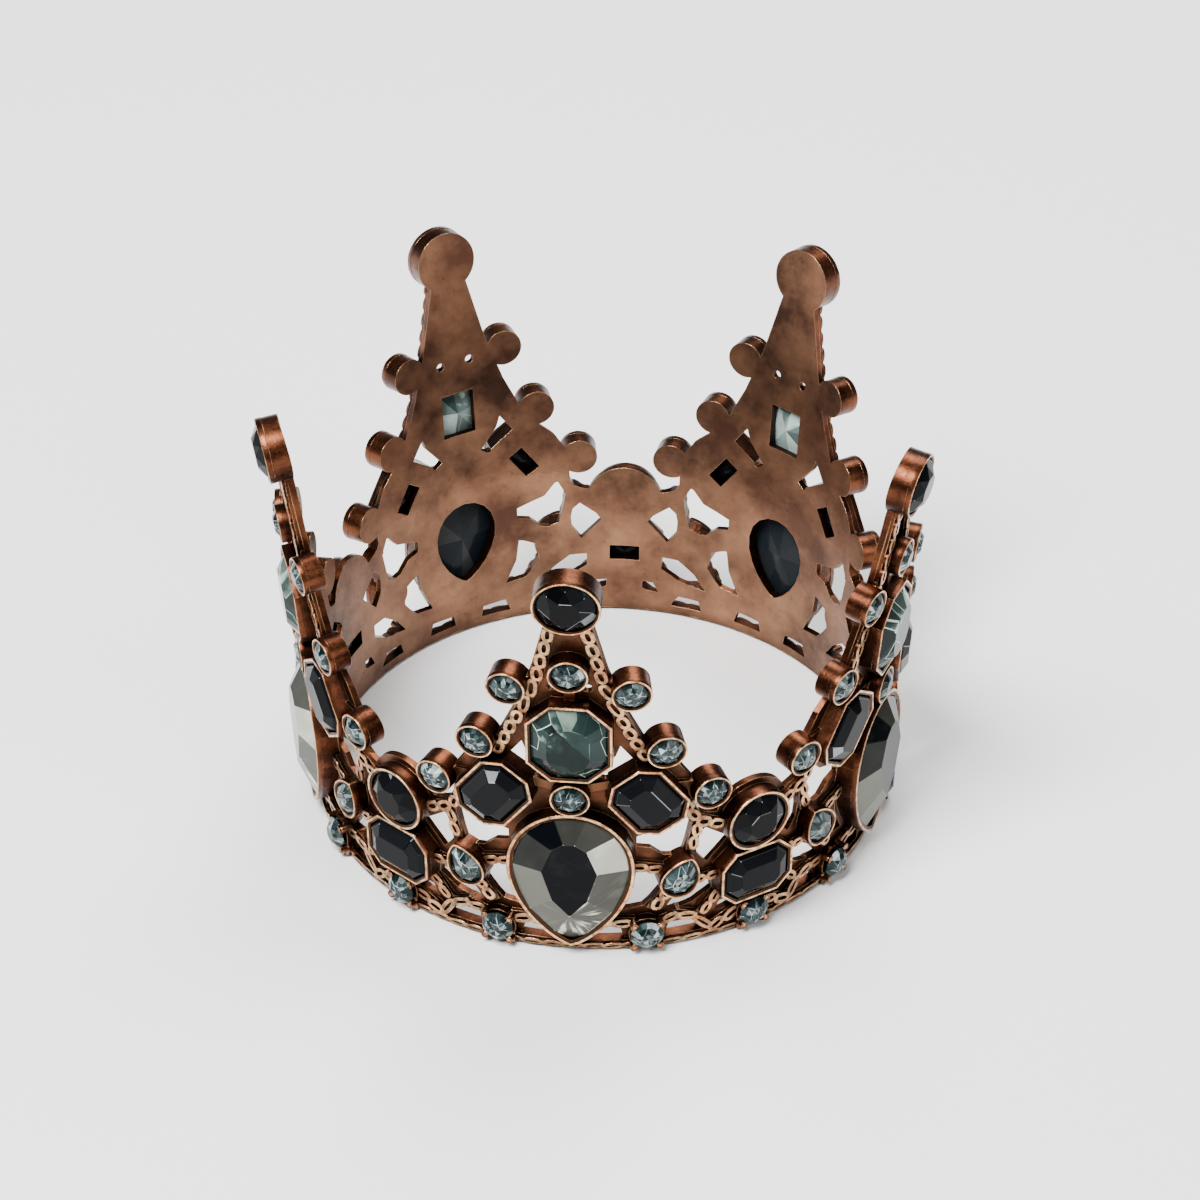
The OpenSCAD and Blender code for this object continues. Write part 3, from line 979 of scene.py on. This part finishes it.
@dataclass
class RimEdge(CastPiece):
    """The smooth rounded strip along the foot of the rim, slightly uneven as cast."""

    middle: float = 33.68
    half_width: float = 0.58
    half_height: float = 0.40
    clear: float = 0.01
    tube: float = 0.5

    def build(self) -> None:
        """Builds the strip."""
        sizes = {"major_segments": 220, "minor_segments": 12, "major_radius": self.middle, "minor_radius": self.tube}
        bpy.ops.mesh.primitive_torus_add(location=(0, 0, 0), **sizes)
        rim = bpy.context.object
        rim.name = "rim_edge"
        for vertex in rim.data.vertices:
            around = math.atan2(vertex.co.y, vertex.co.x)
            out = (math.hypot(vertex.co.x, vertex.co.y) - self.middle) / self.tube
            wave = 1 + 0.05 * math.sin(31 * around) + 0.04 * math.sin(73 * around + 1.3)
            reach = self.middle + out * self.half_width * wave
            up = self.half_height + vertex.co.z / self.tube * self.half_height
            vertex.co = (reach * math.cos(around), reach * math.sin(around), up + self.clear)
        rim.data.transform(Matrix.Scale(MM, 4))
        self.finish(Bench.marked_wear_and_shade(rim, lambda f: 0.45), 60)


@dataclass
class Prongs(CastPiece):
    """The domed prongs that hold the lowest stones, the lower two with legs that run down over the rim."""

    post: tuple[float, float] = (0.46, 2.0)
    leg: tuple[float, float] = (0.40, 1.9)
    off_middle: float = 1.52

    def pin(self, size: tuple[float, float], dome: float, rings: int, foot: float, side: float, at: Matrix) -> Piece:
        """A pin with a rounded end.

        Args:
            size: its radius and length.
            dome: how far the end is rounded.
            rings: in how many steps.
            foot: share of its width that the other end keeps.
            side: how bright its side is.
            at: where it goes.

        Returns:
            The workbench piece.
        """
        bpy.ops.mesh.primitive_cylinder_add(vertices=12, radius=size[0], depth=size[1], location=(0, 0, 0))
        pin = bpy.context.object
        with Bench.editing(pin):
            Bench.pick(pin, Part.EDGES, lambda e: all(v.co.z > 0.9 for v in e.verts))
            bpy.ops.mesh.bevel(offset=dome, segments=rings, affect="EDGES")
            Bench.pick(pin, Part.FACES, lambda f: f.normal.z < -0.9)
            bpy.ops.transform.resize(value=(foot, foot, 1.0))
        pin.data.transform(at)
        return Bench.marked_wear_and_shade(pin, lambda f: 0.9 if f.normal.z > 0.2 else side)

    def build(self) -> None:
        """Sets the prongs, one piece for each panel: four posts round each stone and two legs below it."""
        pins, off = [], self.off_middle
        for x, y in ((x, y) for x in SIDES for y in SIDES):
            pins.append(self.pin(self.post, 0.36, 3, 1.0, 0.1, Matrix.Translation((off * x, off * y, -0.22))))
        for x in SIDES:
            at = Matrix.Translation((off * x * 1.04, -1.62, -0.34)) @ Matrix.Rotation(math.pi / 2, 4, "X")
            pins.append(self.pin(self.leg, 0.2, 2, 0.75, 0.25, at))
        self.seated({Kind.PRONG: Bench.joined(pins, "prong")}, "prongs", 50)


# ---- The stones ----


@dataclass(frozen=True)
class Facet:
    """One flat of a stone's crown: its direction in degrees and its reach at two shares of the crown's height."""

    turn: float
    high_reach: float
    low_reach: float
    high: float = 1.0
    low: float = 0.0
    tone: float | None = None
    scratch_glint: float = 0.0

    def normal(self, crown: float) -> Vector:
        """The way that the flat faces, on a crown of a height."""
        fall = crown * (self.high - self.low)
        return (toward(self.turn) * fall + Vector((0, 0, self.low_reach - self.high_reach))).normalized()


@dataclass(frozen=True)
class Cut:
    """How a stone is cut: its outline, its heights above and below its widest part, and its flats."""

    outline: Outline
    crown: float
    pavilion: float
    facets: tuple[Facet, ...]
    middle_up: float = 0.0
    line: float = 0.04
    girdle_points: int = 32
    girdle_low: float = 0.2
    girdle_high: float = 0.45

    @staticmethod
    def brilliant(outline: Outline, share: float, middle_up: float = 0.0, girdle: bool = True) -> tuple[Facet, ...]:
        """The flats of a round or pear stone: eight mains, eight stars and sixteen at the girdle.

        Args:
            outline: the stone's outline.
            share: the table's share of it.
            middle_up: the table's middle, upwards.
            girdle: whether the sixteen are cut.

        Returns:
            The flats.
        """
        middle = Vector((0.0, middle_up, 0.0))
        made = []

        def flat(turn: float, high_share: float, low_share: float, high: float, low: float) -> None:
            """Adds a flat whose reaches are shares of the outline's."""
            way = toward(turn)
            start = middle.dot(way)
            reach = outline.reach(way) - start
            made.append(Facet(turn, start + reach * high_share, start + reach * low_share, high, low))

        ridge = (1 - (1 - share) * 0.45) * 1.082
        for k in range(8):
            flat(EIGHTH * k + EIGHTH / 2, share, 1.0, 1.0, 0.0)
            flat(EIGHTH * k, share * 0.924, ridge, 1.0, 0.45)
            for side in SIDES if girdle else ():
                flat(EIGHTH * k + side * EIGHTH / 4, ridge * 0.981, 1.0, 0.45, 0.0)
        return tuple(made)

    @staticmethod
    def stepped(outline: Outline, inset: float, stars: bool = False) -> tuple[Facet, ...]:
        """The flats of an octagon stone: two rows of eight, or one row with stars between.

        Args:
            outline: the stone's outline.
            inset: how far the table lies inside it.
            stars: whether it is one row with stars.

        Returns:
            The flats.
        """
        made = []
        for k in range(8):
            turn = EIGHTH * k
            reach = outline.reach(toward(turn))
            if stars:
                between = toward(turn + EIGHTH / 2)
                high = outline.inset(inset).reach(between) * 0.92
                low = outline.inset(inset * 0.5).reach(between) * 0.99
                made += [Facet(turn, reach - inset, reach), Facet(turn + EIGHTH / 2, high, low, 1.0, 0.42)]
            else:
                step = reach - 0.26 * inset
                made += [Facet(turn, step, reach, 0.44, 0.0), Facet(turn, reach - inset, step, 1.0, 0.44)]
        return tuple(made)


@dataclass
class StoneCutter:
    """Cuts one kind of stone and paints each facet with its tone, a painted reflection."""

    cut: Cut
    table_tone: float = 0.1
    tones: tuple[float, float] = (0.1, 0.6)
    # Tones of the painted glint lines on the thin strips along facet edges.
    line_tones: tuple[float, ...] = (0.2, 0.45, 0.9)
    glint: float = 0.06
    thin: float = 0.06
    back_play: float = 0.0

    def made(self) -> Piece:
        """Grinds every flat of the stone.

        Returns:
            The workbench piece.
        """
        cut = self.cut
        middle = Vector((0.0, cut.middle_up, 0.0))
        stone = Bench.plate("stone", cut.outline.points(cut.girdle_points), cut.girdle_low - cut.pavilion)
        with Bench.editing(stone):
            Bench.raised(cut.pavilion - cut.girdle_low + cut.girdle_high + cut.crown)
            for facet in cut.facets:
                up = Vector((0, 0, cut.girdle_high + cut.crown * facet.high))
                Bench.ground_off(toward(facet.turn) * facet.high_reach + up, facet.normal(cut.crown))
            for k in range(8):
                way = toward(EIGHTH * k + EIGHTH / 2)
                reach = cut.outline.reach(way) - middle.dot(way)
                at = middle + way * reach + Vector((0, 0, cut.girdle_low))
                Bench.ground_off(at, way * cut.pavilion - Vector((0, 0, reach)))
            Bench.cleaned(stone, 0.06)
            Bench.pick(stone, Part.EDGES, lambda e: all(f.normal.z > 0.08 for f in e.link_faces))
            bpy.ops.mesh.bevel(offset=cut.line, segments=1, affect="EDGES", clamp_overlap=True)
            Bench.cleaned(stone, 0.003)
        return stone

    def tone_of(self, face: Face, mesh: bpy.types.Mesh, dice: random.Random) -> tuple[float, float]:
        """The painted reflection tone of one flat, and how strong its painted scratch glints are.

        Args:
            face: the flat.
            mesh: the stone's mesh.
            dice: its chance.

        Returns:
            A tone from 0, dark, to 1, a painted flash, and a share of painted scratch glints.
        """
        corners = [mesh.vertices[i].co for i in face.vertices]
        round_about = sum((a - b).length for a, b in zip(corners, corners[1:] + corners[:1]))
        # Thin strips along the facet edges carry painted glint lines.
        if face.normal.z > 0.1 and 2 * face.area / round_about < self.thin:
            return dice.choice(self.line_tones), 0.0
        if face.normal.z > 0.995:
            return self.table_tone, 0.0
        known = [f for f in self.cut.facets if f.tone is not None and face.normal.z > 0.1]
        if known:
            nearest = max(known, key=lambda f: round(f.normal(self.cut.crown).dot(face.normal), 4))
            return nearest.tone + dice.uniform(-0.03, 0.03), nearest.scratch_glint
        if dice.random() < self.glint and face.normal.z > 0.3:
            return dice.uniform(0.6, 0.95), 0.0
        return dice.uniform(*self.tones), 0.0

    def painted(self, master: Piece, name: str, place: Matrix, seed: int) -> Piece:
        """A copy of the cut stone with its own painted play of light.

        Args:
            master: the cut stone.
            name: the copy's name.
            place: where it goes.
            seed: what its tones are drawn from.

        Returns:
            The copy.
        """
        stone = Bench.copied(master, name, Matrix.Identity(4))
        mesh = stone.data
        colours = mesh.color_attributes.new("facet", "FLOAT_COLOR", "CORNER")
        plane = mesh.uv_layers.new(name="face_plane")
        half = max(self.cut.outline.width, self.cut.outline.height) / 2
        own = random.Random(seed).random()
        for face in mesh.polygons:
            dice = random.Random(f"{seed} {[round(v + 0.013, 1) for v in face.center]}")
            tone, scratch_glint = self.tone_of(face, mesh, dice)
            back = 1.0 - dice.uniform(0.0, self.back_play) if face.normal.z < -0.05 else 0.0
            for corner in face.loop_indices:
                colours.data[corner].color = (tone, own, back, scratch_glint)
                at = mesh.vertices[mesh.loops[corner].vertex_index].co
                plane.data[corner].uv = (0.5 + 0.5 * at.x / half, 0.5 + 0.5 * at.y / half)
        mesh.transform(place)
        return stone


# Each finish paints its stones' reflections into their colour: deep, middle and flash are painted tones, from dark to
# a painted flash.
STONE_FINISHES = {
    "black_stone": StoneFinish(
        "black_glass", deep=(0.0012, 0.0012, 0.0016, 1), middle=(0.0065, 0.0075, 0.009, 1),
        flash=(0.36, 0.39, 0.40, 1), back=(0.002, 0.002, 0.003, 1), gloss=0.06, haze=0.02,
    ),
    "silver_stone": StoneFinish(
        "silver_foil", deep=(0.0015, 0.002, 0.003, 1), middle=(0.120, 0.121, 0.100, 1),
        flash=(0.66, 0.66, 0.56, 1), back=(0.003, 0.006, 0.010, 1),
        metallic=0.08, roughness=0.14, gloss=0.07, scratch_glints=1.0, haze=0.015,
    ),
    "teal_stone": StoneFinish(
        "teal_glass", deep=(0.003, 0.006, 0.006, 1), middle=(0.017, 0.034, 0.031, 1),
        flash=(0.46, 0.60, 0.48, 1), back=(0.40, 0.52, 0.49, 1), gloss=0.10, cell_strength=1.0,
    ),
    "pale_stone": StoneFinish(
        "pale_glass", deep=(0.003, 0.007, 0.008, 1), middle=(0.030, 0.050, 0.052, 1),
        flash=(0.52, 0.61, 0.60, 1), back=(0.05, 0.08, 0.09, 1), gloss=0.16, rays=7, ray_strength=0.9,
    ),
}
# The stones that are nodes of their own: the node before its panel's number, its slot and its seat.
MAIN_STONES = (
    ("top_stone", "black_stone", TOP_SEAT),
    ("octagon_stone", "teal_stone", OCTAGON_SEAT),
    ("pear_stone", "silver_stone", PEAR_SEAT),
    ("left_long_stone", "black_stone", LONG_SEAT.mirrored(-1)),
    ("right_long_stone", "black_stone", LONG_SEAT.mirrored(1)),
    ("valley_round_stone", "black_stone", VALLEY_SEAT),
    ("valley_long_stone", "black_stone", CROSS_SEAT),
)
# The pear's flats: direction, reach at the table, painted reflection tone, painted scratch glints, and the painted
# tone of a strip along the girdle.
PEAR_FLATS = (
    (-40, 2.65, 0.30, 1.0, 0.95),
    (-16, 2.44, 0.26, 0.12, None),
    (20, 3.94, 0.74, 0.1, None),
    (56, 6.01, 0.16, 0.0, None),
    (-140, 2.65, 0.40, 0.12, 0.55),
    (196, 2.44, 0.46, 0.0, None),
    (160, 3.94, 0.03, 0.0, None),
    (124, 6.01, 0.03, 0.0, None),
    (90, 6.80, 0.08, 0.0, None),
)
# Tones of the painted glint lines along the facet edges of the dark stones.
DARK_STONE_GLINTS = (0.30, 0.5, 0.62, 0.8)
# The small pale stones: the table's painted reflection tone, where its middle lies upwards, and the girdle's lower
# height.
SMALL_STONES = {Kind.SMALL: (0.34, 0.0, 0.2), Kind.DROP: (0.34, 0.59, 0.2), Kind.PRONG: (0.30, 0.0, 0.39)}


@dataclass
class Stones:
    """All the crown's stones."""

    gap: float = 0.06
    strip: float = 0.35
    strip_tall: float = 0.16
    pear_middle: float = 1.99

    def outline(self, kind: Kind) -> Outline:
        """The outline that fits a cup with its free space."""
        return CUPS[kind].outline.inset(CUPS[kind].wall + self.gap)

    def pear_facets(self) -> tuple[Facet, ...]:
        """The large flats of the pear stone, each with the painted reflection tone that it shows at the front.

        Returns:
            The flats, from the one over the stone's point.
        """
        facets = [Facet(-90, 4.0, 8.45, tone=0.34, scratch_glint=0.9)]
        for turn, high, tone, scratch_glint, strip in PEAR_FLATS:
            reach = self.outline(Kind.PEAR).reach(toward(turn))
            if strip is None:
                facets.append(Facet(turn, high, reach, tone=tone, scratch_glint=scratch_glint))
            else:
                facets.append(Facet(turn, high, reach - self.strip, 1.0, self.strip_tall, tone, scratch_glint))
                facets.append(Facet(turn, reach - self.strip, reach, self.strip_tall, 0.0, strip))
        return tuple(facets)

    def cutters(self) -> dict[Kind, StoneCutter]:
        """How each kind of stone is cut and painted.

        Returns:
            The cutters by their kinds.
        """
        octagon, long, pear = (self.outline(kind) for kind in (Kind.OCTAGON, Kind.LONG, Kind.PEAR))
        made = {
            Kind.OCTAGON: StoneCutter(
                Cut(octagon, 1.4, 1.9, Cut.stepped(octagon, 1.9, stars=True)),
                table_tone=0.07, tones=(0.0, 0.32), line_tones=(0.3, 0.6, 1.0), back_play=1.0,
            ),
            Kind.LONG: StoneCutter(
                Cut(long, 1.25, 1.7, Cut.stepped(long, 1.65), line=0.06),
                table_tone=0.22, tones=(0.0, 0.42), line_tones=DARK_STONE_GLINTS, glint=0.09, thin=0.09,
            ),
            Kind.PEAR: StoneCutter(
                Cut(pear, 1.9, 1.2, self.pear_facets(), self.pear_middle, line=0.05, girdle_points=48),
                table_tone=0.0, tones=(0.3, 0.6), line_tones=(0.4, 0.85, 1.0), thin=0.08, back_play=0.12,
            ),
        }
        for kind, glint in ((Kind.TOP, 0.05), (Kind.VALLEY, 0.06)):
            fit = self.outline(kind)
            cut = Cut(fit, 1.3, 1.5, Cut.brilliant(fit, 0.52))
            made[kind] = StoneCutter(cut, 0.06, (0.0, 0.30), DARK_STONE_GLINTS, glint)
        for kind, (table, middle_up, girdle_low) in SMALL_STONES.items():
            fit = self.outline(kind)
            facets = Cut.brilliant(fit, 0.5, middle_up, girdle=False)
            cut = Cut(fit, 0.85, 1.15, facets, middle_up, line=0.03, girdle_points=24, girdle_low=girdle_low)
            made[kind] = StoneCutter(cut, table, (0.0, 0.42))
        return made

    def build(self) -> None:
        """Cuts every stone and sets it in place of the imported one."""
        cutters = self.cutters()
        masters = {kind: cutter.made() for kind, cutter in cutters.items()}
        finishes = {slot: finish.made() for slot, finish in STONE_FINISHES.items()}
        for panel in range(PANELS):
            for number, (node, slot, seat) in enumerate(MAIN_STONES):
                cutter, master = cutters[seat.kind], masters[seat.kind]
                stone = cutter.painted(master, f"cut_{node}_{panel + 1}", seat.place(panel), panel * 10 + number)
                self.settle(stone, finishes[slot], slot, f"{node}_{panel + 1}")
            small = [
                cutters[seat.kind].painted(masters[seat.kind], "part", seat.place(panel), 1000 + panel * 50 + number)
                for number, seat in enumerate(SEATS)
                if seat.kind in SMALL_STONES
            ]
            stones = Bench.joined(small, f"cut_small_stones_{panel + 1}")
            self.settle(stones, finishes["pale_stone"], "pale_stone", f"small_stones_{panel + 1}")
        for master in masters.values():
            Bench.put_away(master)

    def settle(self, stone: Piece, material: bpy.types.Material, slot: str, node: str) -> None:
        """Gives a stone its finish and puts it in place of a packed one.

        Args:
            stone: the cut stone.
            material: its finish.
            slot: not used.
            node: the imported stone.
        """
        stone.data.materials.clear()
        stone.data.materials.append(material)
        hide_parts(node)
        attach(stone, "root")
        log.info("%s: %d facets", stone.name, len(stone.data.polygons))


# ---- The studio ----


# The soft square lamps: name, degrees round the crown and above the floor, distance, side and watts.
LAMPS = (("key", -34, 58, 0.9, 0.42, 21.0), ("fill", 55, 30, 1.0, 0.5, 4.5), ("back", 165, 55, 0.9, 0.5, 9.0))


@dataclass
class Studio:
    """The pale floor, the soft lights and the camera."""

    azimuth: float = 5.4
    elevation: float = 36.0
    distance: float = 0.515
    lens: float = 129.0
    aim: tuple[float, float, float] = (0.0, 0.0, 0.0255)
    pale: Colour = (1.0, 0.99, 0.97, 1.0)
    grey: Colour = (0.93, 0.93, 0.93, 1.0)
    floor_up: float = -0.00002
    lighting: float = 0.16
    seen: float = 1.2

    def floor(self) -> None:
        """A wide pale floor just under the rim, which stays pale beyond the lamps' reach."""
        bpy.ops.mesh.primitive_plane_add(size=6.0, location=(0, 0, self.floor_up))
        floor = bpy.context.object
        floor.name = "floor"
        n = Nodes("pale_floor")
        place = n.add("ShaderNodeTexCoord").outputs["Object"]
        away = n.add("ShaderNodeVectorMath", {0: place}, operation="LENGTH").outputs["Value"]
        glow = {"Emission Color": self.pale, "Emission Strength": n.spread(away, 0.35, 1.3, 0.0, 0.95)}
        n.feed(n.shader, {"Base Color": self.grey, "Roughness": 0.9, **glow})
        floor.data.materials.append(n.material)

    def room(self) -> None:
        """A dim, even room round the crown, which itself is seen as pale."""
        world = bpy.data.worlds.new("soft_room")
        bpy.context.scene.world = world
        world.use_nodes = True
        nodes, links = world.node_tree.nodes, world.node_tree.links
        lighting, seen = nodes["Background"], nodes.new("ShaderNodeBackground")
        for node, strength in ((lighting, self.lighting), (seen, self.seen)):
            node.inputs[0].default_value = self.pale
            node.inputs[1].default_value = strength
        choice, path = nodes.new("ShaderNodeMixShader"), nodes.new("ShaderNodeLightPath")
        links.new(path.outputs["Is Camera Ray"], choice.inputs[0])
        links.new(lighting.outputs[0], choice.inputs[1])
        links.new(seen.outputs[0], choice.inputs[2])
        links.new(choice.outputs[0], nodes["World Output"].inputs[0])

    def aimed(self, data: bpy.types.ID, azimuth: float, elevation: float, distance: float) -> Piece:
        """Sets up a lamp or a camera that faces the crown.

        Args:
            data: the lamp or the camera.
            azimuth: degrees from the front towards +X.
            elevation: degrees above the floor.
            distance: metres from the crown.

        Returns:
            Its object.
        """
        a, e = math.radians(azimuth), math.radians(elevation)
        way = Vector((math.sin(a) * math.cos(e), -math.cos(a) * math.cos(e), math.sin(e)))
        thing = bpy.data.objects.new(data.name, data)
        thing.location = Vector(self.aim) + way * distance
        thing.rotation_euler = (-way).to_track_quat("-Z", "Y").to_euler()
        bpy.context.scene.collection.objects.link(thing)
        return thing

    def build(self) -> None:
        """Sets up the floor, the room, the lamps, and the camera at the photograph's turn round the crown."""
        self.floor()
        self.room()
        for name, azimuth, elevation, distance, size, power in LAMPS:
            light = bpy.data.lights.new(name, "AREA")
            light.shape, light.size, light.energy = "SQUARE", size, power
            self.aimed(light, azimuth, elevation, distance)
        camera = bpy.data.cameras.new("camera")
        camera.lens = self.lens
        camera.sensor_width = 36.0
        bpy.context.scene.camera = self.aimed(camera, self.azimuth, self.elevation, self.distance)


def main() -> None:
    """Builds the crown's looks in order and reports each piece."""
    logging.basicConfig(level=logging.INFO, format="%(name)s %(message)s")
    Studio().build()
    copper = CopperFinish().made()
    for piece in (CastFrame(copper), RimEdge(copper), ChainWork(copper), CupEdges(copper), Prongs(copper)):
        piece.build()
    Stones().build()


if __name__ == "__main__":
    main()
